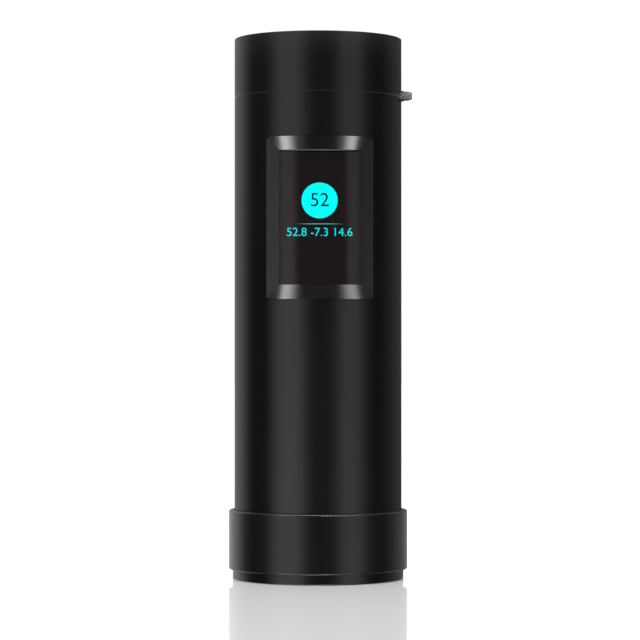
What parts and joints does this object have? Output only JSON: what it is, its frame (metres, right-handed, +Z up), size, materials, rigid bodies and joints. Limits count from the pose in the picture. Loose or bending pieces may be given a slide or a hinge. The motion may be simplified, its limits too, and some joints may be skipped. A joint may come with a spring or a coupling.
{
  "type": "mini color reader",
  "caption": "Pocket colour reader: a satin black cylinder with a small display in a recessed bezel, standing on its pull-off calibration cap.",
  "frame": {"origin": "centre of the calibration cap's underside, on the reader's axis", "axes": "+Z up along the reader's axis, the display faces -Y, the side button points to +X"},
  "size_m": [0.0345, 0.0336, 0.1016],
  "materials": {
    "housing_black": "satin",
    "bezel_gloss": "gloss",
    "smoked_lens": "gloss",
    "display_glass": "gloss",
    "button_metal": "satin",
    "black_plastic": "matte",
    "white_ceramic": "gloss",
    "seal_rubber": "matte",
    "seam_grey": "matte",
    "steel": "satin",
    "circuit_board": "satin",
    "ribbon_amber": "satin",
    "battery_foil": "satin",
    "backlight_white": "matte",
    "led_clear": "gloss",
    "sensor_dark": "gloss"
  },
  "bodies": {
    "calibration_cap": {"cap_base": "housing_black", "cap_shell": "housing_black", "tile_cushion": "seal_rubber", "white_tile": "white_ceramic", "tile_retainer": "black_plastic", "tile_screws": "steel"},
    "reader": {"body_tube": "housing_black", "neck_oring": "seal_rubber", "nose_plate": "black_plastic", "nose_screws": "steel", "aperture_window": "display_glass", "led_holder": "black_plastic", "leds": "led_clear", "led_flex": "ribbon_amber", "sensor_tube": "black_plastic", "sensor_lens": "display_glass", "colour_sensor": "sensor_dark", "base_board": "circuit_board", "base_board_screws": "steel", "usb_shell": "steel", "usb_tongue": "black_plastic", "base_ribbon": "ribbon_amber", "chassis": "black_plastic", "main_board": "circuit_board", "main_board_screws": "steel", "controller_chip": "black_plastic", "radio_module": "steel", "battery_pad": "seal_rubber", "battery": "battery_foil", "display_bezel": "bezel_gloss", "display_lens": "smoked_lens", "lens_gasket": "seal_rubber", "lcd_panel": "display_glass", "lcd_backlight": "backlight_white", "display_ribbon": "ribbon_amber", "top_ribbon": "ribbon_amber", "top_board": "circuit_board", "top_board_screws": "steel", "seam_seal": "seam_grey", "top_cap": "housing_black", "key_switch": "black_plastic", "side_collar": "button_metal", "side_switch": "black_plastic"},
    "measure_key": {"measure_key": "housing_black", "key_plunger": "black_plastic"},
    "side_button": {"side_button": "button_metal", "side_plunger": "black_plastic"}
  },
  "joints": [
    {"name": "reader_lift", "type": "slide", "parent": "calibration_cap", "child": "reader", "axis": [0, 0, 1], "range_m": [0, 0.025]},
    {"name": "measure_key_press", "type": "slide", "parent": "reader", "child": "measure_key", "axis": [0, 0, -1], "range_m": [0, 0.0006], "stiffness_N_per_m": 2500},
    {"name": "side_button_press", "type": "slide", "parent": "reader", "child": "side_button", "axis": [-0.9903, 0.1392, 0], "range_m": [0, 0.00025], "stiffness_N_per_m": 6000}
  ]
}
